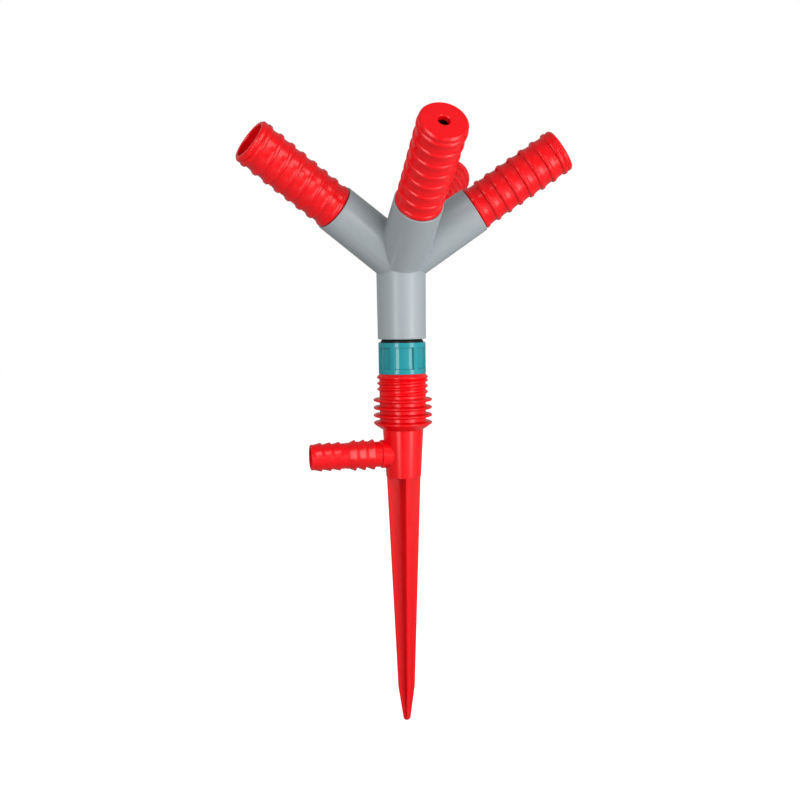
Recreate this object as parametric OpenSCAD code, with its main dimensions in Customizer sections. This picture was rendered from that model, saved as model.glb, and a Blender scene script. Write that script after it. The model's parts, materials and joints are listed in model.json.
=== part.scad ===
// Garden sprinkler on a ground spike: a hose barb feeds a hollow stem, and a head
// with five rising tubes turns on top of it. The origin is on the stem's axis at
// the ground line, +Z is up, the hose barb points along -X.

/* [Spike] */
// Length of the spike below the ground line
spike_len = 128; // [90:1:180]
// How far the blades stand inside the cup's edge
blade_inset = 0.2; // [0:0.05:1]
// Width across the blades where the point begins
spike_low_w = 8.6; // [6:0.1:10]
// Length of the point
point_len = 18; // [12:1:26]
// Width of the blunt end
spike_end_w = 3.4; // [2.6:0.1:5]
// Thickness of each blade
blade_t = 1.9; // [1.4:0.1:3]

/* [Stem] */
// Outer diameter of the cup at the ground line
cup_foot_d = 17.6; // [16:0.1:22]
// Step from the core down to the cup, under the lowest disc
cup_step = 1.4; // [0.6:0.1:2]
// Height of the cup
cup_h = 23.6; // [20:0.1:34]
// Wall of the cup
cup_wall = 1.9; // [1.4:0.1:2.6]
// Thickness of the cup's floor
floor_t = 3; // [2:0.1:5]
// Reach of the grip discs out of the core
disc_reach = 3.1; // [1.6:0.1:6]
// Number of grip discs
disc_n = 4; // [2:1:6]
// Distance from one disc to the next
disc_pitch = 3.85; // [3:0.05:5]
// Thickness of a disc at its rim
disc_t = 1.2; // [0.8:0.1:1.8]
// Wall of the core, from the well to the thread's root
core_wall = 2; // [1.4:0.1:3]
// Depth of the thread
thread_depth = 1.2; // [0.6:0.1:2]
// Pitch of the thread
thread_pitch = 3; // [2:0.1:4]
// Number of thread turns
thread_n = 4; // [3:1:7]

/* [Hose barb] */
// Height of the barb's axis above the ground line
barb_z = 11.8; // [11:0.1:14]
// Reach of the barb from the stem's axis
barb_reach = 47; // [42:0.5:70]
// Bore of the barb
barb_bore_d = 10.4; // [7:0.1:12.6]
// Wall of the barb between its teeth
barb_wall = 1.15; // [1:0.05:1.6]
// Height of the outer teeth
tooth_h = 0.75; // [0.4:0.05:1.2]
// Height of the inner teeth
inner_tooth_h = 1.3; // [0.6:0.05:1.6]
// Teeth in each of the two groups
tooth_n = 3; // [2:1:3]
// Distance from one tooth to the next
tooth_pitch = 4.65; // [3.5:0.05:6]

/* [Bearing housing] */
// Step from the grip ribs out to the flanges
flange_step = 0.6; // [0.2:0.1:3]
// Thickness of each flange
flange_t = 2.5; // [1.6:0.1:4]
// Height of the housing above the stem
housing_h = 15.5; // [11:0.1:24]
// Height of the grip ribs
rib_h = 0.75; // [0.3:0.05:1.5]
// Extra wall of the panels between the ribs, over the plug's wall
panel_extra = 0.9; // [0.8:0.05:2.5]
// Number of grip ribs
rib_n = 6; // [4:1:10]
// Width of a grip rib
rib_w = 2.2; // [1.2:0.1:3.5]
// Direction of the first grip rib
rib_angle = -8; // [-45:1:45]
// Length of the plug inside the stem
plug_len = 18; // [15:0.5:20]
// Wall of the plug round the spindle
plug_wall = 2.94; // [2.4:0.01:4]

/* [Turning fit] */
// Water bore of the spindle
spindle_bore_d = 9.4; // [6:0.1:12]
// Wall of the spindle's neck
neck_wall = 1.8; // [1.6:0.05:2.5]
// Radial running clearance of the neck in the housing
neck_clear = 0.06; // [0.02:0.01:0.1]
// Gap between faces that turn on each other
face_gap = 0.1; // [0.05:0.01:0.3]
// Thickness of the thrust washer
washer_t = 1.2; // [0.8:0.1:2]
// Thickness of the lock ring
lock_t = 1.6; // [1:0.1:2.2]
// Height of the head seal
seal_h = 1.5; // [1:0.1:3]

/* [Head] */
// Length of the vertical tube from its foot to the arms' meeting point
riser_len = 38.4; // [34:0.1:60]
// Step from the housing's flange in to the vertical tube
riser_step = 0.35; // [0:0.05:1]
// Widening of the vertical tube up to the arms
riser_draft = 0.25; // [0:0.05:0.5]
// Wall of the vertical tube at its foot
riser_wall = 1.6; // [1.2:0.1:2]
// Height of the spindle's plug in the vertical tube
hub_plug_h = 10; // [7:0.5:14]
// Rise of the arms above the horizontal
arm_rise = 33.5; // [25:0.5:45]
// Direction of the front arm
arm_turn = -90; // [-180:1:180]
// Distance from the meeting point to a socket's mouth
socket_reach = 43.4; // [40:0.1:60]
// Bore of a socket
socket_bore_d = 21.2; // [17:0.1:25.5]
// Wall of a socket at its mouth
socket_wall = 0.9; // [0.7:0.1:2]
// Widening of a socket towards the meeting point
socket_draft = 0.7; // [0.4:0.1:1.5]
// Depth of the wide bore of a socket
socket_depth = 14.4; // [12:0.1:20]

/* [Nozzle tubes] */
// Full length of a tube
tube_len = 75; // [70:0.5:110]
// Relief from the socket's bore to the tube's plain surface
tube_relief = 0.5; // [0.2:0.05:1]
// Height of the ribs
tube_rib_h = 0.9; // [0.4:0.05:1.6]
// Height of the plain collar at the free end
tube_collar_h = 0.5; // [0:0.05:1]
// Width of the plain collar
tube_collar_w = 2.6; // [2:0.1:6]
// Distance from one rib to the next
tube_rib_pitch = 6.35; // [5:0.05:9]
// Wall of the visible part between its ribs
tube_wall = 1.7; // [1.2:0.05:2.2]
// Step from the socket's bore to the tube's reduced inner end
spigot_step = 2; // [1.6:0.1:2.6]
// Wall of the reduced inner end
spigot_wall = 1.3; // [1:0.05:2]
// Thickness of the closed end
tube_end_t = 2.5; // [1.5:0.1:4]
// Diameter of the jet hole
jet_d = 5.2; // [2:0.1:8]

/* [Fits] */
// Radial clearance of pushed-in pieces
push_clear = 0.05; // [0.03:0.01:0.1]
// Section of the small O-rings
ring_t = 1.2; // [1:0.05:1.4]
// Section of the tubes' O-rings
tube_ring_t = 1.5; // [1.2:0.05:1.8]

/* [Hidden] */
$fn = 96;
arm_n = 5;                                           // one nozzle tube is named for each

// Diameters, from the water's way outwards
neck_d = spindle_bore_d + 2 * neck_wall;
neck_bore_d = neck_d + 2 * neck_clear;
lock_groove_d = neck_d - neck_wall;                  // half way into the neck's wall
plug_d = neck_bore_d + 2 * plug_wall;
well_d = plug_d + 2 * push_clear;
core_d = well_d + 2 * core_wall;
thread_d = core_d + 2 * thread_depth;
disc_d = core_d + 2 * disc_reach;
cup_top_d = core_d - 2 * cup_step;
spike_w = cup_foot_d - 2 * blade_inset;
panel_d = plug_d + 2 * panel_extra;
rib_d = panel_d + 2 * rib_h;
flange_d = rib_d + 2 * flange_step;
riser_d = flange_d - 2 * riser_step;
riser_top_d = riser_d + 2 * riser_draft;
riser_bore_d = riser_d - 2 * riser_wall;
hub_plug_d = riser_bore_d - 2 * push_clear;
barb_d = barb_bore_d + 2 * barb_wall;
boss_d = barb_d + 1.5;

// Diameters along an arm
socket_d = socket_bore_d + 2 * socket_wall;
socket_root_d = socket_d + 2 * socket_draft;
tube_plug_d = socket_bore_d - 2 * push_clear;
tube_d = socket_bore_d - 2 * tube_relief;
tube_rib_d = tube_d + 2 * tube_rib_h;
tube_collar_d = tube_d + 2 * tube_collar_h;
tube_bore_d = tube_d - 2 * tube_wall;
tube_spigot_d = socket_bore_d - 2 * spigot_step;
tube_inner_bore_d = tube_spigot_d - 2 * spigot_wall;
spigot_bore_d = tube_spigot_d + 0.8;                 // socket bore below the step

// Half angle between neighbouring arms, and the rise of the line midway between them
arm_half = acos(sin(arm_rise) ^ 2 + cos(arm_rise) ^ 2 * cos(360 / arm_n)) / 2;
mid_rise = asin(sin(arm_rise) / cos(arm_half));

// Places along the stem, from the ground line upwards
disc_side = 0.9;                                     // half thickness of a disc at its root
first_disc_z = cup_h + 3.7;                          // leaves room for the flare under the disc
last_disc_z = first_disc_z + (disc_n - 1) * disc_pitch;
crest_side = 1.1;                                    // half thickness of a thread crest at its root
first_crest_z = last_disc_z + disc_side + crest_side + 0.8;
last_crest_z = first_crest_z + (thread_n - 1) * thread_pitch;
stem_top = last_crest_z + crest_side + 0.2;

// Housing, spindle and seal
housing_top = stem_top + housing_h;
plug_foot = stem_top - plug_len;
washer_foot = plug_foot - washer_t;
lock_top = washer_foot - face_gap;
lock_foot = lock_top - lock_t;
spindle_foot = lock_foot - 1.6;
well_foot = spindle_foot - 0.8;                      // bottom of the stem's wide bore
seal_top = housing_top + seal_h;
riser_foot = seal_top + face_gap;
hub_plug_top = riser_foot + hub_plug_h;
hub_z = riser_foot + riser_len;                      // where the arms' axes meet

// O-ring grooves: a groove is a ring section deep less the free gap round the ring
ring_slack = 0.03;
groove_side = 0.2;                                   // free space beside a ring in its groove
groove_w = ring_t + 2 * groove_side;
neck_groove_d = neck_bore_d - 2 * (ring_t + ring_slack);
neck_groove_zs = [plug_foot + plug_len * 0.3, housing_top - housing_h * 0.4];
plug_groove_d = well_d - 2 * (ring_t + ring_slack);
plug_groove_z = plug_foot + plug_len * 0.6;
tube_groove_w = tube_ring_t + 2 * groove_side;
tube_groove_d = socket_bore_d - 2 * (tube_ring_t + ring_slack);

// Places along an arm, from the meeting point outwards
seat = socket_reach - socket_depth;                  // step at the bottom of the wide bore
tube_step = seat + push_clear;                       // the tube's step rests just off it
tube_foot = tube_spigot_d / 2 / tan(arm_half) + 2.85; // clear of its neighbours' inner ends
tube_tip = tube_foot + tube_len;
tube_ring_s = tube_step + socket_depth * 0.45;
rib_front = 1.3;                                     // from a rib's steep foot to its middle
last_tail = 1.25;                                    // the last rib ends short, at the collar
last_rib_s = tube_tip - tube_collar_w - rib_front;
rib_room = last_rib_s - socket_reach - rib_front;    // ribs stop clear of the socket's mouth
tube_rib_n = 1 + floor(rib_room / tube_rib_pitch);
first_rib_s = last_rib_s - (tube_rib_n - 1) * tube_rib_pitch;

// Hose barb
tip_land = 1.6;                                      // plain end ahead of the first tooth
outer_tooth_x = barb_reach - tip_land - 3.6;
mid_land = 7.7;                                      // from the outer group to the inner one
inner_tooth_x = outer_tooth_x - (tooth_n - 1) * tooth_pitch - mid_land;
tooth_ramp = 3.2;
boss_x = inner_tooth_x - (tooth_n - 1) * tooth_pitch - 4;

// ---- outlines, as [radius, height] points ----

function disc_points(z) = [
    [core_d / 2, z - disc_side],
    [disc_d / 2 - 0.4, z - disc_t / 2],
    [disc_d / 2, z - disc_t / 5],
    [disc_d / 2, z + disc_t / 5],
    [disc_d / 2 - 0.4, z + disc_t / 2],
    [core_d / 2, z + disc_side],
];

function crest_points(z) = [
    [core_d / 2, z - crest_side],
    [thread_d / 2, z - 0.25],
    [thread_d / 2, z + 0.25],
    [core_d / 2, z + crest_side],
];

// Tooth of the hose barb: steep towards the stem, sloping towards the tip
function tooth_points(x, d) = [
    [barb_d / 2, x - 0.3],
    [d / 2, x],
    [d / 2, x + 0.35],
    [barb_d / 2, x + tooth_ramp],
];

// Rib of a nozzle tube: steep towards the socket, sloping towards the free end
function tube_rib_points(s, tail = 2.9) = [
    [tube_d / 2, s - rib_front],
    [tube_rib_d / 2 - 0.25, s - 0.9],
    [tube_rib_d / 2, s - 0.55],
    [tube_rib_d / 2, s + 0.4],
    [tube_d / 2 + tube_rib_h * 0.4, s + 1],
    [tube_d / 2, s + tail],
];

function row_of(n, pitch, start) = [for (i = [0 : n - 1]) start + i * pitch];

function flatten(lists) = [for (list = lists, point = list) point];

module ring(centre_d, section) {
    rotate_extrude()
        translate([centre_d / 2, 0])
            circle(d = section, $fn = 32);
}

// Carries a piece drawn along +Z to arm k, with the meeting point at its zero
module on_arm(k) {
    translate([0, 0, hub_z])
        rotate([0, 0, arm_turn + k * 360 / arm_n])
            rotate([0, 90 - arm_rise, 0])
                children();
}

// ---- stem ----

module spike_blade() {
    taper_foot = -(spike_len - point_len);
    rotate([90, 0, 0])
        linear_extrude(height = blade_t, center = true)
            polygon([
                [-spike_w / 2, floor_t / 2],
                [-spike_w / 2, 0],
                [-spike_low_w / 2, taper_foot],
                [-spike_end_w / 2, -spike_len + 1.2],
                [-spike_end_w / 4, -spike_len],
                [spike_end_w / 4, -spike_len],
                [spike_end_w / 2, -spike_len + 1.2],
                [spike_low_w / 2, taper_foot],
                [spike_w / 2, 0],
                [spike_w / 2, floor_t / 2],
            ]);
}

module stem_outside() {
    discs = row_of(disc_n, disc_pitch, first_disc_z);
    crests = row_of(thread_n, thread_pitch, first_crest_z);
    rotate_extrude()
        polygon(concat(
            [[0, 0]],
            [[cup_foot_d / 2 - 0.5, 0]],
            [[cup_foot_d / 2, 0.5]],
            [[cup_top_d / 2, cup_h]],
            [[disc_d / 2 - 0.6, first_disc_z - disc_t / 2]],
            [for (p = disc_points(first_disc_z)) if (p[1] > first_disc_z - disc_t / 2) p],
            flatten([for (i = [1 : disc_n - 1]) disc_points(discs[i])]),
            flatten([for (z = crests) crest_points(z)]),
            [[core_d / 2, stem_top]],
            [[0, stem_top]]
        ));
}

module barb_outside() {
    inner = row_of(tooth_n, tooth_pitch, inner_tooth_x - (tooth_n - 1) * tooth_pitch);
    outer = row_of(tooth_n, tooth_pitch, outer_tooth_x - (tooth_n - 1) * tooth_pitch);
    step_x = (inner_tooth_x + outer[0]) / 2;
    translate([0, 0, barb_z])
        rotate([0, -90, 0])
            rotate_extrude()
                polygon(concat(
                    [[0, 0]],
                    [[boss_d / 2, 0]],
                    [[boss_d / 2, boss_x]],
                    [[barb_d / 2, boss_x + 0.3]],
                    flatten([for (x = inner) tooth_points(x, barb_d + 2 * inner_tooth_h)]),
                    [[barb_d / 2, step_x - 0.3]],
                    [[barb_d / 2 + 0.35, step_x]],
                    [[barb_d / 2, step_x + 0.3]],
                    flatten([for (x = outer) tooth_points(x, barb_d + 2 * tooth_h)]),
                    [[barb_d / 2, barb_reach - 0.4]],
                    [[barb_d / 2 - 0.4, barb_reach]],
                    [[0, barb_reach]]
                ));
}

module stem_body() {
    color("red")
        difference() {
            union() {
                stem_outside();
                barb_outside();
                spike_blade();
                rotate([0, 0, 90])
                    spike_blade();
            }
            // chamber in the cup, widening upwards into the well
            rotate_extrude()
                polygon([
                    [0, floor_t],
                    [cup_foot_d / 2 - cup_wall, floor_t],
                    [cup_top_d / 2 - cup_wall, well_foot],
                    [well_d / 2, well_foot],
                    [well_d / 2, stem_top + 1],
                    [0, stem_top + 1],
                ]);
            // water way of the barb
            translate([0, 0, barb_z])
                rotate([0, -90, 0])
                    cylinder(d = barb_bore_d, h = barb_reach + 1);
        }
}

// ---- bearing housing ----

module housing_grip() {
    linear_extrude(height = housing_h - 2 * flange_t)
        union() {
            circle(d = panel_d);
            intersection() {
                circle(d = rib_d);
                for (i = [0 : rib_n - 1])
                    rotate([0, 0, rib_angle + i * 360 / rib_n])
                        translate([0, -rib_w / 2])
                            square([rib_d, rib_w]);
            }
        }
}

module flange() {
    edge = 0.35;
    rotate_extrude()
        polygon([
            [0, 0],
            [flange_d / 2 - edge, 0],
            [flange_d / 2, edge],
            [flange_d / 2, flange_t - edge],
            [flange_d / 2 - edge, flange_t],
            [0, flange_t],
        ]);
}

module bearing_housing() {
    color("teal")
        difference() {
            union() {
                translate([0, 0, stem_top])
                    flange();
                translate([0, 0, stem_top + flange_t])
                    housing_grip();
                translate([0, 0, housing_top - flange_t])
                    flange();
                translate([0, 0, plug_foot])
                    cylinder(d = plug_d, h = plug_len + flange_t / 2);
            }
            translate([0, 0, plug_foot - 1])
                cylinder(d = neck_bore_d, h = housing_top - plug_foot + 2);
            // groove of the plug's O-ring
            translate([0, 0, plug_groove_z - groove_w / 2])
                difference() {
                    cylinder(d = plug_d + 1, h = groove_w);
                    translate([0, 0, -1])
                        cylinder(d = plug_groove_d, h = groove_w + 2);
                }
        }
}

module housing_o_ring() {
    color("dimgray")
        translate([0, 0, plug_groove_z])
            ring((plug_groove_d + well_d) / 2, ring_t);
}

module head_seal() {
    seal_bore_d = neck_bore_d + 1;
    color("black")
        translate([0, 0, housing_top])
            rotate_extrude()
                polygon([
                    [seal_bore_d / 2, 0],
                    [flange_d / 2 - 1.1, 0],
                    [flange_d / 2 - 1.1, seal_h * 0.35],
                    [flange_d / 2 - 1.9, seal_h],
                    [seal_bore_d / 2, seal_h],
                ]);
}

// ---- spindle and what is on it ----

module spindle() {
    funnel = 3;
    color("whitesmoke")
        difference() {
            union() {
                translate([0, 0, spindle_foot])
                    cylinder(d = neck_d, h = riser_foot + 1 - spindle_foot);
                translate([0, 0, riser_foot])
                    cylinder(d = hub_plug_d, h = hub_plug_h);
            }
            translate([0, 0, spindle_foot - 1])
                cylinder(d = spindle_bore_d, h = hub_plug_top - spindle_foot + 2);
            translate([0, 0, hub_plug_top - funnel])
                rotate_extrude()
                    polygon([
                        [0, 0],
                        [spindle_bore_d / 2, 0],
                        [spindle_bore_d / 2 + funnel, funnel],
                        [spindle_bore_d / 2 + funnel, funnel + 1],
                        [0, funnel + 1],
                    ]);
            for (z = neck_groove_zs)
                translate([0, 0, z - groove_w / 2])
                    neck_groove(neck_groove_d, groove_w);
            translate([0, 0, lock_foot])
                neck_groove(lock_groove_d, lock_t);
        }
}

module neck_groove(d, w) {
    difference() {
        cylinder(d = neck_d + 1, h = w);
        translate([0, 0, -1])
            cylinder(d = d, h = w + 2);
    }
}

module spindle_o_ring(z) {
    color("dimgray")
        translate([0, 0, z])
            ring((neck_groove_d + neck_bore_d) / 2, ring_t);
}

module spindle_o_ring_lower() {
    spindle_o_ring(neck_groove_zs[0]);
}

module spindle_o_ring_upper() {
    spindle_o_ring(neck_groove_zs[1]);
}

module thrust_washer() {
    color("white")
        translate([0, 0, washer_foot])
            difference() {
                cylinder(d = plug_d - 1, h = washer_t);
                translate([0, 0, -1])
                    cylinder(d = neck_bore_d, h = washer_t + 2);
            }
}

module lock_ring() {
    slot_w = 3;
    ring_d = neck_d + 4.4;
    color("silver")
        translate([0, 0, lock_foot])
            difference() {
                cylinder(d = ring_d, h = lock_t);
                translate([0, 0, -1])
                    cylinder(d = lock_groove_d, h = lock_t + 2);
                translate([0, -slot_w / 2, -1])
                    cube([ring_d, slot_w, lock_t + 2]);
            }
}

// ---- head ----

module socket_outside() {
    edge = 0.3;
    rotate_extrude()
        polygon([
            [0, 0],
            [socket_root_d / 2, 0],
            [socket_d / 2, socket_reach - edge],
            [socket_d / 2 - edge, socket_reach],
            [0, socket_reach],
        ]);
}

// The sockets' inner bores cross in ellipses that lie midway between the arms. The
// chamber is that ellipse turned about the riser's axis, so it takes in every crossing
function crossing_point(r, t) = [
    r / sin(arm_half) * cos(t) * cos(mid_rise) - r * sin(t) * sin(mid_rise),
    r / sin(arm_half) * cos(t) * sin(mid_rise) + r * sin(t) * cos(mid_rise),
];

module chamber() {
    r = spigot_bore_d / 2 + 0.3;
    top = atan(cos(mid_rise) / (sin(arm_half) * sin(mid_rise))) - 0.001;
    steps = 16;
    rotate_extrude()
        polygon([for (i = [0 : steps]) crossing_point(r, top - i * 179.998 / steps)]);
}

module manifold() {
    edge = 0.6;
    color("lightgray")
        difference() {
            union() {
                translate([0, 0, riser_foot])
                    rotate_extrude()
                        polygon([
                            [0, 0],
                            [riser_d / 2 - edge, 0],
                            [riser_d / 2 - edge * 0.3, edge * 0.3],
                            [riser_d / 2, edge],
                            [riser_top_d / 2, riser_len],
                            [0, riser_len],
                        ]);
                for (k = [0 : arm_n - 1])
                    on_arm(k)
                        socket_outside();
            }
            union() {
                translate([0, 0, riser_foot - 1])
                    cylinder(d = riser_bore_d, h = riser_len + 1);
                translate([0, 0, hub_z])
                    chamber();
            }
            for (k = [0 : arm_n - 1])
                on_arm(k)
                    translate([0, 0, spigot_bore_d / 2])
                        cylinder(d = spigot_bore_d, h = socket_reach);
            for (k = [0 : arm_n - 1])
                on_arm(k)
                    translate([0, 0, seat])
                        cylinder(d = socket_bore_d, h = socket_depth + 1);
        }
}

// ---- nozzle tubes ----

module tube_outside() {
    edge = 0.5;
    long_ribs = row_of(tube_rib_n - 1, tube_rib_pitch, first_rib_s);
    rotate_extrude()
        polygon(concat(
            [[0, tube_foot]],
            [[tube_spigot_d / 2 - edge, tube_foot]],
            [[tube_spigot_d / 2, tube_foot + edge]],
            [[tube_spigot_d / 2, tube_step]],
            [[tube_plug_d / 2, tube_step]],
            [[tube_plug_d / 2, socket_reach - 0.6]],
            [[tube_d / 2, socket_reach - 0.2]],
            flatten([for (s = long_ribs) tube_rib_points(s)]),
            tube_rib_points(last_rib_s, last_tail),
            [[tube_collar_d / 2, tube_tip - tube_collar_w + 0.3]],
            [[tube_collar_d / 2, tube_tip - edge]],
            [[tube_collar_d / 2 - edge, tube_tip]],
            [[0, tube_tip]]
        ));
}

module tube_inside(closed) {
    inner_stop = tube_step + 3;
    far_stop = closed ? tube_tip - tube_end_t : tube_tip + 1;
    rotate_extrude()
        polygon([
            [0, tube_foot - 1],
            [tube_inner_bore_d / 2, tube_foot - 1],
            [tube_inner_bore_d / 2, tube_step],
            [tube_bore_d / 2, inner_stop],
            [tube_bore_d / 2, far_stop],
            [0, far_stop],
        ]);
    translate([0, 0, tube_foot])
        cylinder(d = jet_d, h = tube_len + 1);
}

module nozzle_tube(k, closed) {
    color("red")
        on_arm(k)
            difference() {
                tube_outside();
                tube_inside(closed);
                translate([0, 0, tube_ring_s - tube_groove_w / 2])
                    difference() {
                        cylinder(d = socket_bore_d + 1, h = tube_groove_w);
                        translate([0, 0, -1])
                            cylinder(d = tube_groove_d, h = tube_groove_w + 2);
                    }
            }
}

module tube_o_ring(k) {
    color("dimgray")
        on_arm(k)
            translate([0, 0, tube_ring_s])
                ring((tube_groove_d + socket_bore_d) / 2, tube_ring_t);
}

module nozzle_tube_front() {
    nozzle_tube(0, true);
}

module nozzle_tube_right() {
    nozzle_tube(1, true);
}

module nozzle_tube_back_right() {
    nozzle_tube(2, true);
}

module nozzle_tube_back_left() {
    nozzle_tube(3, true);
}

module nozzle_tube_left() {
    nozzle_tube(4, false);
}

module tube_o_ring_front() {
    tube_o_ring(0);
}

module tube_o_ring_right() {
    tube_o_ring(1);
}

module tube_o_ring_back_right() {
    tube_o_ring(2);
}

module tube_o_ring_back_left() {
    tube_o_ring(3);
}

module tube_o_ring_left() {
    tube_o_ring(4);
}

stem_body();
bearing_housing();
housing_o_ring();
head_seal();
spindle();
spindle_o_ring_upper();
spindle_o_ring_lower();
thrust_washer();
lock_ring();
manifold();
nozzle_tube_front();
nozzle_tube_right();
nozzle_tube_back_right();
nozzle_tube_back_left();
nozzle_tube_left();
tube_o_ring_front();
tube_o_ring_right();
tube_o_ring_back_right();
tube_o_ring_back_left();
tube_o_ring_left();
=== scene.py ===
import json
import math

import bmesh
import bpy
from mathutils import Matrix, Vector


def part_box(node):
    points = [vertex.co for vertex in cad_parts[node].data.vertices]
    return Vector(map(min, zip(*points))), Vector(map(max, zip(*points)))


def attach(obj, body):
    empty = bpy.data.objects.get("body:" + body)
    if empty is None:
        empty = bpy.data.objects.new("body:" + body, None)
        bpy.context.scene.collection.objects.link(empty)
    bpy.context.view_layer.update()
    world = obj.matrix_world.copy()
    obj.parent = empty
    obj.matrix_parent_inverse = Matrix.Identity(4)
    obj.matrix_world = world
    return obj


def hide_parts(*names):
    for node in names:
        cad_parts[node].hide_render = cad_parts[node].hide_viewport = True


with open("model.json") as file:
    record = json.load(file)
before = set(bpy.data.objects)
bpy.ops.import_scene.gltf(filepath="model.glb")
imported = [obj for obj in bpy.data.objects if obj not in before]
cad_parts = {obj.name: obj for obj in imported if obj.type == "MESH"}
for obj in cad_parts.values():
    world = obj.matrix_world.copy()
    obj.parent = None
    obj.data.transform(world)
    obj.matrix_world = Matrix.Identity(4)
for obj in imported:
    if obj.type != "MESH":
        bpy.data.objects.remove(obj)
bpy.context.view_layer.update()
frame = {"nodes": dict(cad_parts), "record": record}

mm = 0.001

# ---- places that the CAD frame gives, in millimetres ----

mounts = {mount["name"]: mount for mount in frame["record"]["mounts"]}
stem_low, stem_high = [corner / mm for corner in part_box("stem_body")]
housing_low, housing_high = [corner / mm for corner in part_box("bearing_housing")]
seal_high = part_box("head_seal")[1] / mm
riser_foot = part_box("manifold")[0].z / mm

spike_tip_z = stem_low.z
stem_top = stem_high.z
disc_r = stem_high.x
barb_reach = -stem_low.x
barb_z = mounts["hose_barb_bore"]["pos_m"][2] / mm
barb_bore_r = mounts["hose_barb_bore"]["dims"]["r_mm"]
plug_foot = housing_low.z
housing_top = housing_high.z
flange_r = housing_high.x
seal_r = seal_high.x
seal_top = seal_high.z

jet_mount = mounts["jet_hole_front"]
jet_centre = Vector(jet_mount["pos_m"]) / mm
jet_axis = Vector(jet_mount["axis"])
jet_r = jet_mount["dims"]["r_mm"]
end_wall = jet_mount["dims"]["length_mm"]
jet_reach = jet_centre.xy.length / jet_axis.xy.length
hub_z = jet_centre.z - jet_axis.z * jet_reach
tube_tip = jet_reach + end_wall / 2
tube_bore_r = mounts["open_tube_left"]["dims"]["r_mm"]

# Each nozzle tube, with the mount on its axis and the turn it was pushed in at
TUBES = {
    "front": ("jet_hole_front", 150),
    "right": ("jet_hole_right", 205),
    "back_right": ("jet_hole_back_right", 35),
    "back_left": ("jet_hole_back_left", 80),
    "left": ("open_tube_left", 0),
}

# ---- sizes of the stem ----

cup_foot_r = 8.8
cup_top_r = 10.15
cup_h = 23.6
cup_wall = 1.9
floor_t = 3.0
core_r = 11.55
well_r = 9.55
well_foot = 28.65
disc_n = 4
first_disc_z = 27.3
disc_pitch = 3.85
disc_rim_t = 1.25
disc_root_t = 2.1
short_disc_step = 0.75
disc_edge = 0.5
cup_flare = 1.4

thread_r = 12.72
thread_pitch = 2.9
thread_foot_z = 41.3
thread_turns = 3.05
thread_start = 167
thread_fade = 0.35
thread_half_root = 1.05
thread_half_crest = 0.3
lip_z = stem_top - 1.75
lip_half = 1.2

barb_r = 6.35
boss_r = 7.1
boss_end = 11.5
outer_tooth_r = 7.1
inner_tooth_r = 7.65
tooth_pitch = 4.65
outer_teeth = [32.5 + i * tooth_pitch for i in range(3)]
inner_teeth = [15.5 + i * tooth_pitch for i in range(3)]
step_tooth = 28.65
tooth_back = 0.3
tooth_crest = 0.4
tooth_ramp = 3.3
barb_lead_in = 0.35
pip_r = 0.55
pip_gap = 3.55

spike_top_w = 17.2
spike_low_w = 8.6
spike_end_w = 3.4
point_len = 18.0
blade_top_t = 2.05
blade_low_t = 1.5
blade_chamfer = 0.3
point_blunt = 2.2
point_flare = 0.55

# ---- sizes of the housing and the head ----

plug_r = 9.5
neck_bore_r = 6.56
panel_r = 10.4
rib_r = 11.7
rib_w = 2.2
rib_n = 6
rib_angle = -8
rib_overlap = 0.8
rib_edge = 0.22
flange_t = 2.5
groove_z = 44.75
groove_w = 1.6
groove_r = 8.32
flange_edge = 0.4
seal_bore_r = 7.06

riser_foot_r = 11.95
riser_top_r = 12.2
riser_bore_r = 10.35
socket_reach = 43.4
socket_mouth_r = 11.5
socket_root_r = 12.2
socket_bore_r = 10.6
socket_seat = 29.0
inner_bore_r = 9.0
mouth_lead_in = 0.3

tube_foot = 18.14
tube_step = 29.05
spigot_r = 8.6
spigot_bore_r = 7.3
tube_plug_r = 10.55
tube_r = 10.1
tube_rib_r = 11.0
tube_rib_pitch = 6.35
tube_rib_n = 8
collar_r = 10.6
collar_w = 2.6
rib_front = 1.3
last_rib = tube_tip - collar_w - rib_front
end_bevel = 0.9
jet_edge = 0.25
mould_line_w = 0.22
mould_line_h = 0.1
tube_ring_s = 35.5
tube_ring_w = 1.9
tube_ring_r = 9.07
tube_pip_n = 4

# ---- sizes of the stage ----

view_turn = -13.3
target_z = 60
floor_half = 3000
floor_grey = 0.35
floor_lift = 0.93
world_seen = 1.0
world_cast = 0.3


# ---- outlines and solids ----

def soften(outline, steps=5):
    """Points of an outline of (radius, height, corner radius), with its corners made round."""
    points = []
    most_of_a_side = 0.48
    for i, (radius, height, corner) in enumerate(outline):
        here = Vector((radius, height))
        if corner <= 0 or i in (0, len(outline) - 1):
            points.append(here)
            continue
        back = Vector(outline[i - 1][:2]) - here
        ahead = Vector(outline[i + 1][:2]) - here
        half_angle = back.angle(ahead) / 2
        reach = corner / math.tan(half_angle)
        start = here + back.normalized() * min(reach, back.length * most_of_a_side)
        end = here + ahead.normalized() * min(reach, ahead.length * most_of_a_side)
        for step in range(steps + 1):
            t = step / steps
            points.append(start * (1 - t) ** 2 + here * 2 * t * (1 - t) + end * t ** 2)
    return points


def make_object(name, bm):
    """Scene object from a mesh in millimetres, with its faces turned outwards."""
    bmesh.ops.recalc_face_normals(bm, faces=bm.faces)
    bmesh.ops.scale(bm, verts=bm.verts, vec=(mm, mm, mm))
    mesh = bpy.data.meshes.new(name)
    bm.to_mesh(mesh)
    bm.free()
    piece = bpy.data.objects.new(name, mesh)
    bpy.context.scene.collection.objects.link(piece)
    return piece


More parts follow.
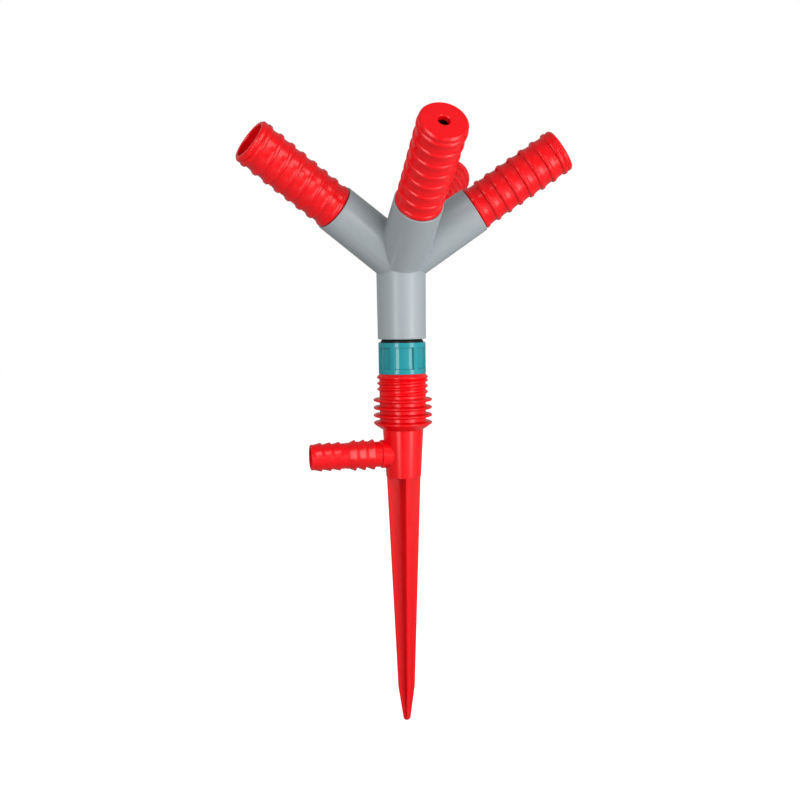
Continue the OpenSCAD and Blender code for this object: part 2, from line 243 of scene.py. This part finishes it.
def lathe(name, outline, place=None, closed=False, columns=144):
    """Solid turned about the place's Z axis. A closed outline is a ring's own section."""
    place = place or Matrix.Identity(4)
    bm = bmesh.new()
    rings = []
    for radius, height in outline:
        count = 1 if radius < 1e-6 else columns
        ring = []
        for column in range(count):
            angle = 2 * math.pi * column / columns
            local = Vector((radius * math.cos(angle), radius * math.sin(angle), height))
            ring.append(bm.verts.new(place @ local))
        rings.append(ring)
    pairs = list(zip(rings, rings[1:]))
    if closed:
        pairs.append((rings[-1], rings[0]))
    for low, high in pairs:
        for column in range(columns):
            following = (column + 1) % columns
            corners = [
                low[column % len(low)],
                low[following % len(low)],
                high[following % len(high)],
                high[column % len(high)],
            ]
            bm.faces.new(dict.fromkeys(corners))
    return make_object(name, bm)


def loft(name, sections):
    """Solid through a list of sections, each a list of the same number of points."""
    bm = bmesh.new()
    rings = [[bm.verts.new(point) for point in section] for section in sections]
    count = len(rings[0])
    for low, high in zip(rings, rings[1:]):
        for i in range(count):
            j = (i + 1) % count
            bm.faces.new((low[i], low[j], high[j], high[i]))
    bm.faces.new(rings[0])
    bm.faces.new(rings[-1])
    return make_object(name, bm)


def block(name, size, place, edge):
    """Box with rounded edges, centred on its place."""
    bm = bmesh.new()
    bmesh.ops.create_cube(bm, size=1, matrix=place @ Matrix.Diagonal((*size, 1)))
    if edge > 0:
        bmesh.ops.bevel(bm, geom=bm.edges[:], offset=edge, segments=3, affect="EDGES", profile=0.5)
    return make_object(name, bm)


def pip(name, place, radius, height):
    """Small rounded nub that a mould leaves."""
    bm = bmesh.new()
    shape = place @ Matrix.Diagonal((height, radius, radius, 1))
    bmesh.ops.create_icosphere(bm, subdivisions=3, radius=1, matrix=shape)
    return make_object(name, bm)


def combine(piece, tools, operation, solver="MANIFOLD"):
    """Joins the tools to the piece or cuts them out of it, and clears them away."""
    for tool in tools:
        modifier = piece.modifiers.new(tool.name, "BOOLEAN")
        modifier.operation = operation
        modifier.solver = solver
        modifier.object = tool
    shaped = piece.evaluated_get(bpy.context.evaluated_depsgraph_get())
    mesh = bpy.data.meshes.new_from_object(shaped)
    piece.modifiers.clear()
    piece.data = mesh
    for tool in tools:
        bpy.data.objects.remove(tool)


def finish_shape(piece, sharp_angle=32):
    """Smooth shading that keeps broad faces true, and crisp edges past the sharp angle."""
    piece.data.validate()
    piece.data.shade_smooth()
    piece.data.set_sharp_from_angle(angle=math.radians(sharp_angle))
    even = piece.modifiers.new("broad_faces_lead", "WEIGHTED_NORMAL")
    even.keep_sharp = True
    even.weight = 90


def turned(degrees, axis):
    """Turn about X, Y or Z."""
    return Matrix.Rotation(math.radians(degrees), 4, axis)


# ---- stem ----

def stem_outline():
    """Cup, grip discs, thread lip and top of the stem, from the middle of the foot upwards."""
    outline = [
        (0, 0, 0),
        (cup_foot_r, 0, 0.3),
        (cup_top_r, cup_h + 0.5, 0.5),
        (cup_top_r + cup_flare, cup_h + 1.2, 0.8),
    ]
    rim = disc_rim_t / 2
    root = disc_root_t / 2
    for i in range(disc_n):
        z = first_disc_z + i * disc_pitch
        if i > 0:
            outline.append((core_r, z - root, 0.35))
        outline += [
            (disc_r - disc_edge, z - rim, 0.25),
            (disc_r, z - rim * 0.45, 0.4),
            (disc_r, z + rim * 0.45, 0.4),
            (disc_r - disc_edge, z + rim, 0.25),
            (core_r, z + root, 0.35),
        ]
    outline += [
        (core_r, lip_z - lip_half, 0.3),
        (thread_r, lip_z - 0.25, 0.2),
        (thread_r, lip_z + 0.25, 0.2),
        (core_r + 0.2, lip_z + lip_half, 0.3),
        (core_r - 0.1, stem_top, 0.4),
        (0, stem_top, 0),
    ]
    return soften(outline)


def thread_ridge():
    """Right-hand thread that dies away at both ends."""
    steps_per_turn = 120
    steps = round(thread_turns * steps_per_turn)
    sunk = 0.45
    inner_r = core_r - 0.5
    foot_r = core_r - 0.15
    sections = []
    for step in range(steps + 1):
        turns = step / steps_per_turn
        angle = math.radians(thread_start) + turns * 2 * math.pi
        z = thread_foot_z + turns * thread_pitch
        ends = min(turns, thread_turns - turns) / thread_fade
        grown = max(0.02, min(1, ends)) ** 0.5
        crest_r = foot_r + (thread_r - foot_r) * grown
        section = []
        for radius, offset in (
            (inner_r, -thread_half_root - sunk),
            (crest_r - 0.12, -thread_half_crest),
            (crest_r, -0.12),
            (crest_r, 0.12),
            (crest_r - 0.12, thread_half_crest),
            (inner_r, thread_half_root + sunk),
        ):
            section.append((radius * math.cos(angle), radius * math.sin(angle), z + offset))
        sections.append(section)
    return loft("thread_ridge", sections)


def spike_blade(name, direction):
    """Tapering blade with chamfered edges, ending in a blunt rounded point."""
    into_stem = 1.5
    end_w = spike_end_w + point_flare
    blunt_z = spike_tip_z + point_blunt
    stations = [
        (into_stem, spike_top_w, blade_top_t),
        (0, spike_top_w, blade_top_t),
        (spike_tip_z + point_len, spike_low_w, blade_low_t),
        (blunt_z, end_w, blade_low_t),
    ]
    for angle in range(15, 90, 15):
        drop = point_blunt * math.sin(math.radians(angle))
        width = end_w * math.cos(math.radians(angle)) ** 0.7
        stations.append((blunt_z - drop, max(width, 0.7), blade_low_t * 0.98))
    stations.append((spike_tip_z, 0.6, blade_low_t * 0.6))
    sections = []
    for z, width, thickness in stations:
        chamfer = min(blade_chamfer, width * 0.2)
        x = width / 2
        y = thickness / 2
        corners = [
            (x, y - chamfer), (x - chamfer, y), (-x + chamfer, y), (-x, y - chamfer),
            (-x, -y + chamfer), (-x + chamfer, -y), (x - chamfer, -y), (x, -y + chamfer),
        ]
        sections.append([turned(direction, "Z") @ Vector((px, py, z)) for px, py in corners])
    return loft(name, sections)


def tooth(x, radius):
    """Barb tooth: steep towards the stem, sloping towards the tip."""
    return [
        (barb_r, x - tooth_back, 0.15),
        (radius, x, 0.12),
        (radius, x + tooth_crest, 0.3),
        (barb_r, x + tooth_ramp, 0.5),
    ]


def barb_outline():
    """Boss, three high teeth, a small step and three lower teeth, from the stem outwards."""
    outline = [(0, 0, 0), (boss_r, 0, 0), (boss_r, boss_end, 0.2), (barb_r, boss_end + 0.5, 0.2)]
    for x in inner_teeth:
        outline += tooth(x, inner_tooth_r)
    outline += [
        (barb_r, step_tooth - 0.35, 0.1),
        (barb_r + 0.35, step_tooth, 0.15),
        (barb_r, step_tooth + 0.5, 0.2),
    ]
    for x in outer_teeth:
        outline += tooth(x, outer_tooth_r)
    outline += [(barb_r, barb_reach, 0.35), (0, barb_reach, 0)]
    return soften(outline)


def barb_place():
    """Puts +Z along the barb, away from the stem."""
    return Matrix.Translation((0, 0, barb_z)) @ turned(-90, "Y")


def stem_cavity():
    """Water space of the cup and the well that the housing's plug goes down into."""
    lead_in = 0.35
    outline = [
        (0, floor_t, 0),
        (cup_foot_r - cup_wall, floor_t, 0.5),
        (cup_top_r - cup_wall, well_foot, 0.2),
        (well_r, well_foot, 0.3),
        (well_r, stem_top - lead_in, 0.1),
        (well_r + lead_in, stem_top, 0),
        (well_r + lead_in, stem_top + 1, 0),
        (0, stem_top + 1, 0),
    ]
    return lathe("stem_cavity", soften(outline))


def make_stem():
    """One moulding: cup, discs, thread, side barb and the two crossed blades of the spike."""
    stem = lathe("stem_moulding", stem_outline())
    barb = lathe("barb_outside", barb_outline(), barb_place(), columns=120)
    blades = [spike_blade("blade_across", 0), spike_blade("blade_along", 90)]
    pips = []
    for x in inner_teeth[:2]:
        spot = Vector((-(x + pip_gap), 0, barb_z + barb_r + 0.1))
        pips.append(pip("barb_pip", Matrix.Translation(spot), pip_r, 0.6))
    combine(stem, [thread_ridge(), barb, *blades, *pips], "UNION")
    bore = lathe("barb_bore", soften([
        (0, 0, 0),
        (barb_bore_r, 0, 0),
        (barb_bore_r, barb_reach - barb_lead_in, 0.1),
        (barb_bore_r + barb_lead_in, barb_reach, 0),
        (barb_bore_r + barb_lead_in, barb_reach + 1, 0),
        (0, barb_reach + 1, 0),
    ]), barb_place(), columns=120)
    cutter = (4, 30, 2.6)
    flat_x = -(disc_r - short_disc_step) - cutter[0] / 2
    flat = block("short_disc", cutter, Matrix.Translation((flat_x, 0, first_disc_z)), 0)
    combine(stem, [stem_cavity(), bore, flat], "DIFFERENCE")
    finish_shape(stem)
    return stem


# ---- bearing housing and seal ----

def housing_outline():
    """Closed section, from the foot of the bore round the outside and back."""
    edge = flange_edge
    foot = stem_top
    return soften([
        (neck_bore_r, plug_foot, 0),
        (plug_r, plug_foot, 0.4),
        (plug_r, groove_z - groove_w / 2, 0.1),
        (groove_r, groove_z - groove_w / 2, 0.1),
        (groove_r, groove_z + groove_w / 2, 0.1),
        (plug_r, groove_z + groove_w / 2, 0.1),
        (plug_r, foot, 0.1),
        (flange_r, foot, edge),
        (flange_r, foot + flange_t, edge),
        (panel_r, foot + flange_t, 0.25),
        (panel_r, housing_top - flange_t, 0.25),
        (flange_r, housing_top - flange_t, edge),
        (flange_r, housing_top, edge),
        (neck_bore_r + 0.4, housing_top, 0.1),
        (neck_bore_r, housing_top - 0.4, 0.1),
    ])


def make_housing():
    """Teal collar with its grip ribs, and the plug and bearing below it."""
    housing = lathe("collar_housing", housing_outline(), closed=True)
    ribs = []
    depth = rib_r - plug_r
    height = housing_top - stem_top - 2 * (flange_t - rib_overlap)
    for i in range(rib_n):
        place = turned(rib_angle + i * 360 / rib_n, "Z") @ Matrix.Translation(
            (rib_r - depth / 2, 0, (stem_top + housing_top) / 2)
        )
        ribs.append(block("grip_rib", (depth, rib_w, height), place, rib_edge))
    combine(housing, ribs, "UNION")
    finish_shape(housing)
    return housing


def make_seal():
    """Black ring between the collar and the turning head, chamfered at its top."""
    seal = lathe("head_seal_lip", soften([
        (seal_bore_r, housing_top, 0.1),
        (seal_r, housing_top, 0.15),
        (seal_r, housing_top + 0.5, 0.2),
        (seal_r - 0.8, seal_top, 0.25),
        (seal_bore_r, seal_top, 0.2),
    ]), closed=True)
    finish_shape(seal)
    return seal


# ---- head ----

def arm_place(mount_name, roll=0):
    """Puts +Z along an arm from the meeting point, and +X on the arm's underside."""
    along = Vector(mounts[mount_name]["axis"]).normalized()
    down = (along * along.z - Vector((0, 0, 1))).normalized()
    side = along.cross(down)
    axes = Matrix((down, side, along)).transposed().to_4x4()
    return Matrix.Translation((0, 0, hub_z)) @ axes @ turned(roll, "Z")


def make_manifold():
    """Grey riser and its five sockets, bored through and counterbored for the tubes."""
    riser = lathe("head_manifold", soften([
        (0, riser_foot, 0),
        (riser_foot_r, riser_foot, 0.7),
        (riser_top_r, hub_z, 0),
        (0, hub_z, 0),
    ]))
    sockets = []
    inner_bores = []
    mouths = []
    for name, (mount_name, _) in TUBES.items():
        place = arm_place(mount_name)
        sockets.append(lathe("socket_" + name, soften([
            (0, 0, 0),
            (socket_root_r, 0, 0),
            (socket_mouth_r, socket_reach, 0.3),
            (0, socket_reach, 0),
        ]), place))
        inner_bores.append(lathe("inner_bore_" + name, soften([
            (0, 0, 0),
            (inner_bore_r, 0, 0),
            (inner_bore_r, socket_seat + 0.01, 0),
            (0, socket_seat + 0.01, 0),
        ]), place, columns=96))
        mouths.append(lathe("mouth_" + name, soften([
            (0, socket_seat, 0),
            (socket_bore_r, socket_seat, 0),
            (socket_bore_r, socket_reach - mouth_lead_in, 0.1),
            (socket_bore_r + mouth_lead_in, socket_reach, 0),
            (socket_bore_r + mouth_lead_in, socket_reach + 1, 0),
            (0, socket_reach + 1, 0),
        ]), place))
    combine(riser, sockets, "UNION")
    riser_bore = lathe("riser_bore", soften([
        (0, riser_foot - 1, 0),
        (riser_bore_r, riser_foot - 1, 0),
        (riser_bore_r, hub_z, 0),
        (0, hub_z + riser_bore_r, 0),
    ]), columns=96)
    combine(riser, [riser_bore, *inner_bores, *mouths], "DIFFERENCE")
    finish_shape(riser)
    return riser


def tube_rib(s):
    """Grip rib: steep towards the socket, then a round crest, a step and a faint ramp."""
    crest_round = 0.75
    step_rise = 0.34
    ramp_rise = 0.03
    return [
        (tube_r, s - 1.28, 0.12),
        (tube_rib_r, s - 0.95, crest_round),
        (tube_rib_r, s + 0.6, crest_round),
        (tube_r + step_rise, s + 1.15, 0.3),
        (tube_r + ramp_rise, s + 3.1, 0.5),
    ]


def tube_outline(closed_end):
    """Closed section of a nozzle tube, from the foot of its bore round the outside and back."""
    half_groove = tube_ring_w / 2
    outline = [
        (spigot_bore_r, tube_foot, 0.2),
        (spigot_r, tube_foot, 0.5),
        (spigot_r, tube_step, 0.1),
        (tube_plug_r, tube_step, 0.2),
        (tube_plug_r, tube_ring_s - half_groove, 0.1),
        (tube_ring_r, tube_ring_s - half_groove, 0.1),
        (tube_ring_r, tube_ring_s + half_groove, 0.1),
        (tube_plug_r, tube_ring_s + half_groove, 0.1),
        (tube_plug_r, socket_reach - 0.6, 0.2),
        (tube_r, socket_reach - 0.2, 0.2),
    ]
    for i in range(tube_rib_n):
        outline += tube_rib(last_rib - (tube_rib_n - 1 - i) * tube_rib_pitch)
    outline = outline[:-2] + [
        (tube_r + 0.12, tube_tip - collar_w - 0.05, 0.15),
        (collar_r, tube_tip - collar_w + 0.45, 0.4),
        (collar_r, tube_tip - end_bevel, 0.6),
        (collar_r - end_bevel * 0.9, tube_tip, 0.3),
    ]
    if closed_end:
        outline += [
            (jet_r + jet_edge, tube_tip, 0.15),
            (jet_r, tube_tip - 0.3, 0.1),
            (jet_r, tube_tip - end_wall, 0.1),
            (tube_bore_r, tube_tip - end_wall, 0.8),
        ]
    else:
        outline += [(tube_bore_r + 0.25, tube_tip, 0.2), (tube_bore_r, tube_tip - 0.4, 0.2)]
    outline += [(tube_bore_r, tube_step + 3, 0.3), (spigot_bore_r, tube_step, 0.3)]
    return soften(outline, steps=4)


def mould_lines(place):
    """Faint ridge that the mould's halves leave across a closed end, on both sides of the hole."""
    first = jet_r + 0.5
    last = collar_r - 1.2
    ridge = (mould_line_w, last - first, mould_line_h)
    lines = []
    for side in (1, -1):
        spot = place @ Matrix.Translation((0, side * (first + last) / 2, tube_tip))
        lines.append(block("mould_line", ridge, spot, 0))
    return lines


def make_tube(name, mount_name, roll):
    """Nozzle tube with the small pips that its mould leaves between the ribs."""
    place = arm_place(mount_name, roll)
    closed_end = mount_name.startswith("jet")
    tube = lathe("tube_" + name, tube_outline(closed_end), place, True, 128)
    pips = []
    behind_crest = 1.75
    for i in range(tube_pip_n):
        s = last_rib - (i + 2) * tube_rib_pitch - behind_crest
        spot = place @ Matrix.Translation((tube_r + 0.2, 0, s))
        pips.append(pip("tube_pip", spot, pip_r, 0.75))
    if closed_end:
        pips += mould_lines(place)
    combine(tube, pips, "UNION", "EXACT")
    finish_shape(tube)
    return tube


# ---- materials ----

def sockets_of(group, names, in_out, kind):
    """Adds named inputs or outputs of one kind to a node group."""
    for name in names:
        group.interface.new_socket(name=name, in_out=in_out, socket_type=kind)


def math_node(nodes, links, operation, first, second=0.0):
    """Result of one sum, of numbers or of other nodes' outputs."""
    node = nodes.new("ShaderNodeMath")
    node.operation = operation
    for socket, value in zip(node.inputs, (first, second)):
        if isinstance(value, (int, float)):
            socket.default_value = value
        else:
            links.new(value, socket)
    return node.outputs[0]


def noise_node(nodes, links, vector, scale, detail=3.0):
    """Soft noise in the object's own metres."""
    node = nodes.new("ShaderNodeTexNoise")
    node.inputs["Detail"].default_value = detail
    if isinstance(scale, (int, float)):
        node.inputs["Scale"].default_value = scale
    else:
        links.new(scale, node.inputs["Scale"])
    links.new(vector, node.inputs["Vector"])
    return node.outputs["Fac"]


def moulded_skin_group():
    """Melt flow in the colour, polished and duller patches, and the skin's fine waviness."""
    group = bpy.data.node_groups.new("moulded_skin", "ShaderNodeTree")
    sockets_of(group, ["Colour", "Deep Colour"], "INPUT", "NodeSocketColor")
    sockets_of(group, ["Flow Scale", "Flow Amount", "Gloss Low", "Gloss High", "Skin Scale",
                       "Grain"], "INPUT", "NodeSocketFloat")
    sockets_of(group, ["Colour"], "OUTPUT", "NodeSocketColor")
    sockets_of(group, ["Roughness", "Height"], "OUTPUT", "NodeSocketFloat")
    nodes = group.nodes
    links = group.links
    given = nodes.new("NodeGroupInput")
    result = nodes.new("NodeGroupOutput")
    place = nodes.new("ShaderNodeTexCoord").outputs["Object"]

    stretch = nodes.new("ShaderNodeMapping")
    stretch.inputs["Scale"].default_value = (1.0, 1.0, 0.35)
    links.new(place, stretch.inputs["Vector"])
    flow = noise_node(nodes, links, stretch.outputs["Vector"], given.outputs["Flow Scale"], 4.0)
    centred = math_node(nodes, links, "SUBTRACT", flow, 0.5)
    spread = math_node(nodes, links, "MULTIPLY", centred, given.outputs["Flow Amount"])
    share = nodes.new("ShaderNodeMath")
    share.operation = "ADD"
    share.use_clamp = True
    share.inputs[1].default_value = 0.4
    links.new(spread, share.inputs[0])
    blend = nodes.new("ShaderNodeMix")
    blend.data_type = "RGBA"
    links.new(share.outputs[0], blend.inputs["Factor"])
    links.new(given.outputs["Colour"], blend.inputs["A"])
    links.new(given.outputs["Deep Colour"], blend.inputs["B"])
    links.new(blend.outputs["Result"], result.inputs["Colour"])

    patch_scale = 160.0
    patches = noise_node(nodes, links, place, patch_scale)
    gloss = nodes.new("ShaderNodeMapRange")
    gloss.inputs["From Min"].default_value = 0.3
    gloss.inputs["From Max"].default_value = 0.7
    links.new(patches, gloss.inputs["Value"])
    links.new(given.outputs["Gloss Low"], gloss.inputs["To Min"])
    links.new(given.outputs["Gloss High"], gloss.inputs["To Max"])
    links.new(gloss.outputs["Result"], result.inputs["Roughness"])

    wave = noise_node(nodes, links, place, given.outputs["Skin Scale"], 2.0)
    grain_scale = 1500.0
    grain = noise_node(nodes, links, place, grain_scale, 1.0)
    fine = math_node(nodes, links, "MULTIPLY", grain, given.outputs["Grain"])
    height = math_node(nodes, links, "ADD", wave, fine)
    links.new(height, result.inputs["Height"])
    return group


def handling_group():
    """Mask of faint hairline scuffs from handling."""
    group = bpy.data.node_groups.new("handling_scuffs", "ShaderNodeTree")
    sockets_of(group, ["Scale", "Amount"], "INPUT", "NodeSocketFloat")
    sockets_of(group, ["Mask"], "OUTPUT", "NodeSocketFloat")
    nodes = group.nodes
    links = group.links
    given = nodes.new("NodeGroupInput")
    result = nodes.new("NodeGroupOutput")
    place = nodes.new("ShaderNodeTexCoord").outputs["Object"]
    lean = nodes.new("ShaderNodeMapping")
    lean.inputs["Rotation"].default_value = (0.5, 0.3, 0.9)
    lean.inputs["Scale"].default_value = (1.0, 9.0, 1.6)
    links.new(place, lean.inputs["Vector"])
    streaks = noise_node(nodes, links, lean.outputs["Vector"], given.outputs["Scale"], 6.0)
    ridge = math_node(nodes, links, "SUBTRACT", streaks, 0.5)
    ridge = math_node(nodes, links, "ABSOLUTE", ridge)
    hairline = 0.012
    line = nodes.new("ShaderNodeMapRange")
    line.inputs["From Min"].default_value = 0.0
    line.inputs["From Max"].default_value = hairline
    line.inputs["To Min"].default_value = 1.0
    line.inputs["To Max"].default_value = 0.0
    links.new(ridge, line.inputs["Value"])
    scuffed_area_scale = 70.0
    where = noise_node(nodes, links, place, scuffed_area_scale)
    gate = nodes.new("ShaderNodeMapRange")
    gate.inputs["From Min"].default_value = 0.55
    gate.inputs["From Max"].default_value = 0.7
    links.new(where, gate.inputs["Value"])
    mask = math_node(nodes, links, "MULTIPLY", line.outputs["Result"], gate.outputs["Result"])
    mask = math_node(nodes, links, "MULTIPLY", mask, given.outputs["Amount"])
    links.new(mask, result.inputs["Mask"])
    return group


skin = moulded_skin_group()
scuffs = handling_group()


def plastic(name, colour, deep, gloss, flow, skin_scale, bump, scuff, grain=0.0, specular=0.5,
            soft_edge=0.0):
    """Moulded plastic or rubber. Gloss is the range of roughness over the surface.
    A soft edge, in millimetres, rounds the light over creases and rims."""
    flow_scale = 90
    scuff_scale = 160
    relief_depth = 0.0001
    material = bpy.data.materials.new(name)
    material.use_nodes = True
    nodes = material.node_tree.nodes
    links = material.node_tree.links
    shader = nodes["Principled BSDF"]
    shader.inputs["Specular IOR Level"].default_value = specular
    surface = nodes.new("ShaderNodeGroup")
    surface.node_tree = skin
    surface.inputs["Colour"].default_value = (*colour, 1)
    surface.inputs["Deep Colour"].default_value = (*deep, 1)
    surface.inputs["Flow Scale"].default_value = flow_scale
    surface.inputs["Flow Amount"].default_value = flow
    surface.inputs["Gloss Low"].default_value = gloss[0]
    surface.inputs["Gloss High"].default_value = gloss[1]
    surface.inputs["Skin Scale"].default_value = skin_scale
    surface.inputs["Grain"].default_value = grain
    links.new(surface.outputs["Colour"], shader.inputs["Base Color"])
    wear = nodes.new("ShaderNodeGroup")
    wear.node_tree = scuffs
    wear.inputs["Scale"].default_value = scuff_scale
    wear.inputs["Amount"].default_value = scuff
    roughness = math_node(nodes, links, "ADD", surface.outputs["Roughness"], wear.outputs["Mask"])
    links.new(roughness, shader.inputs["Roughness"])
    relief = nodes.new("ShaderNodeBump")
    relief.inputs["Strength"].default_value = bump
    relief.inputs["Distance"].default_value = relief_depth
    links.new(surface.outputs["Height"], relief.inputs["Height"])
    links.new(relief.outputs["Normal"], shader.inputs["Normal"])
    if soft_edge > 0:
        rounding = nodes.new("ShaderNodeBevel")
        rounding.samples = 6
        rounding.inputs["Radius"].default_value = soft_edge * mm
        links.new(rounding.outputs["Normal"], relief.inputs["Normal"])
    return material


def linear(red, green, blue):
    """Scene colour of a paint chip given in 0 to 255."""
    chips = []
    for value in (red, green, blue):
        share = value / 255
        chips.append(share / 12.92 if share <= 0.04045 else ((share + 0.055) / 1.055) ** 2.4)
    return tuple(chips)


def red_plastic():
    return plastic("glossy_red_moulding", linear(216, 5, 14), linear(204, 1, 11),
                   gloss=(0.19, 0.25), flow=0.7, skin_scale=110, bump=0.12, scuff=0.03,
                   specular=0.4)


def grey_plastic():
    return plastic("satin_grey_moulding", linear(141, 148, 151), linear(137, 145, 149),
                   gloss=(0.28, 0.34), flow=0.9, skin_scale=90, bump=0.15, scuff=0.05,
                   grain=0.02, specular=0.45, soft_edge=0.7)


def teal_plastic():
    return plastic("glossy_teal_moulding", linear(32, 134, 142), linear(24, 125, 134),
                   gloss=(0.1, 0.15), flow=0.8, skin_scale=120, bump=0.1, scuff=0.03,
                   specular=0.6)


def white_plastic():
    return plastic("plain_white_acetal", linear(224, 223, 216), linear(212, 210, 200),
                   gloss=(0.38, 0.5), flow=0.8, skin_scale=240, bump=0.3, scuff=0.05)


def black_rubber():
    return plastic("black_rubber", linear(22, 22, 23), linear(14, 14, 15),
                   gloss=(0.3, 0.45), flow=1.0, skin_scale=420, bump=0.5, scuff=0.08)


def spring_steel():
    material = plastic("spring_steel", linear(176, 178, 180), linear(150, 152, 156),
                       gloss=(0.22, 0.34), flow=0.8, skin_scale=600, bump=0.3, scuff=0.1)
    material.node_tree.nodes["Principled BSDF"].inputs["Metallic"].default_value = 1.0
    return material


FINISHES = {
    "red_plastic": red_plastic(),
    "grey_plastic": grey_plastic(),
    "teal_plastic": teal_plastic(),
    "white_plastic": white_plastic(),
    "black_rubber": black_rubber(),
    "spring_steel": spring_steel(),
}


def dress(piece, slot, body, *nodes):
    """Gives a made piece its finish and its body, and hides the CAD nodes that it stands for."""
    piece.data.materials.clear()
    piece.data.materials.append(FINISHES[slot])
    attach(piece, body)
    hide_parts(*nodes)


def dress_cad_nodes():
    """Hidden pieces keep their CAD shape and get a finish."""
    kept = {
        "spindle": "white_plastic",
        "thrust_washer": "white_plastic",
        "lock_ring": "spring_steel",
        "housing_o_ring": "black_rubber",
        "spindle_o_ring_upper": "black_rubber",
        "spindle_o_ring_lower": "black_rubber",
    }
    for name in TUBES:
        kept["tube_o_ring_" + name] = "black_rubber"
    for name, slot in kept.items():
        node = frame["nodes"][name]
        node.data.materials.clear()
        node.data.materials.append(FINISHES[slot])


# ---- stage ----

def make_floor():
    """White table. What the camera sees of it is lifted to white, apart from soft shadow."""
    bm = bmesh.new()
    bmesh.ops.create_grid(bm, x_segments=1, y_segments=1, size=floor_half)
    bmesh.ops.translate(bm, verts=bm.verts, vec=(0, 0, spike_tip_z))
    floor = make_object("pale_floor", bm)
    material = bpy.data.materials.new("pale_floor")
    material.use_nodes = True
    nodes = material.node_tree.nodes
    links = material.node_tree.links
    shader = nodes["Principled BSDF"]
    shader.inputs["Base Color"].default_value = (floor_grey, floor_grey, floor_grey, 1)
    shader.inputs["Roughness"].default_value = 0.9
    shader.inputs["Specular IOR Level"].default_value = 0.0
    shader.inputs["Emission Color"].default_value = (1, 1, 1, 1)
    rays = nodes.new("ShaderNodeLightPath")
    lift = nodes.new("ShaderNodeMath")
    lift.operation = "MULTIPLY"
    lift.inputs[1].default_value = floor_lift
    links.new(rays.outputs["Is Camera Ray"], lift.inputs[0])
    links.new(lift.outputs[0], shader.inputs["Emission Strength"])
    floor.data.materials.append(material)


def make_world():
    """White all round: full white where the camera sees it, softer as light."""
    world = bpy.data.worlds.new("white_studio")
    bpy.context.scene.world = world
    world.use_nodes = True
    nodes = world.node_tree.nodes
    links = world.node_tree.links
    background = nodes["Background"]
    background.inputs["Color"].default_value = (1, 1, 1, 1)
    rays = nodes.new("ShaderNodeLightPath")
    strength = nodes.new("ShaderNodeMapRange")
    strength.inputs["To Min"].default_value = world_cast
    strength.inputs["To Max"].default_value = world_seen
    links.new(rays.outputs["Is Camera Ray"], strength.inputs["Value"])
    links.new(strength.outputs["Result"], background.inputs["Strength"])


def softbox(name, azimuth, elevation, width, height, distance, radiance, mirrored=True):
    """Rectangular studio light. Azimuth is to the camera's right, from the object.
    A light that isn't mirrored only fills, and shows in no gloss."""
    light = bpy.data.lights.new(name, "AREA")
    light.shape = "RECTANGLE"
    light.size = width * mm
    light.size_y = height * mm
    light.energy = radiance * math.pi * light.size * light.size_y
    lamp = bpy.data.objects.new(name, light)
    bpy.context.scene.collection.objects.link(lamp)
    turn = math.radians(azimuth + view_turn - 90)
    rise = math.radians(elevation)
    level = math.cos(rise)
    away = Vector((math.cos(turn) * level, math.sin(turn) * level, math.sin(rise)))
    lamp.location = (Vector((0, 0, target_z)) + away * distance) * mm
    lamp.rotation_euler = away.to_track_quat("Z", "Y").to_euler()
    lamp.visible_glossy = mirrored
    lamp.visible_camera = False


def make_lights():
    """Two tall softboxes make the streaks down the mouldings, and three more only fill."""
    softbox("left_softbox", -26, 12, width=140, height=540, distance=420, radiance=4.5)
    softbox("right_softbox", 48, 12, width=160, height=540, distance=420, radiance=3.5)
    softbox("back_panel", 180, 12, width=3600, height=1500, distance=900, radiance=1.1,
            mirrored=False)
    softbox("left_fill", -85, 12, width=900, height=900, distance=900, radiance=0.8,
            mirrored=False)
    softbox("low_fill", 50, -6, width=900, height=300, distance=600, radiance=4.8,
            mirrored=False)


def make_camera():
    """Camera a little above the stem, tilted down, on the hose barb's side of the front tube."""
    across = -2.2
    distance = 439.1
    height = 82.4
    pitch = math.radians(5.7)
    yaw = math.radians(0.11)
    roll = math.radians(-0.8)
    lens = 39.7
    sensor = 36
    forward = Vector((
        math.sin(yaw) * math.cos(pitch),
        math.cos(yaw) * math.cos(pitch),
        -math.sin(pitch),
    ))
    level = forward.cross(Vector((0, 0, 1))).normalized()
    above = level.cross(forward)
    right = level * math.cos(roll) + above * math.sin(roll)
    up = above * math.cos(roll) - level * math.sin(roll)
    spot = turned(view_turn, "Z")
    axes = Matrix((right, up, -forward)).transposed().to_4x4()
    camera = bpy.data.cameras.new("studio_camera")
    camera.lens = lens
    camera.sensor_width = sensor
    holder = bpy.data.objects.new("studio_camera", camera)
    bpy.context.scene.collection.objects.link(holder)
    place = spot @ Matrix.Translation(Vector((across, -distance, height)) * mm) @ axes
    holder.matrix_world = place
    bpy.context.scene.camera = holder


def make_stage():
    """Camera, white floor and surroundings, and lights."""
    make_camera()
    make_floor()
    make_world()
    make_lights()
    bpy.context.scene.view_settings.view_transform = "Standard"


make_stage()
dress_cad_nodes()
dress(make_stem(), "red_plastic", "stem", "stem_body")
dress(make_housing(), "teal_plastic", "stem", "bearing_housing")
dress(make_seal(), "black_rubber", "stem", "head_seal")
dress(make_manifold(), "grey_plastic", "head", "manifold")
for tube_name, (tube_mount, tube_roll) in TUBES.items():
    made_tube = make_tube(tube_name, tube_mount, tube_roll)
    dress(made_tube, "red_plastic", "head", "nozzle_tube_" + tube_name)
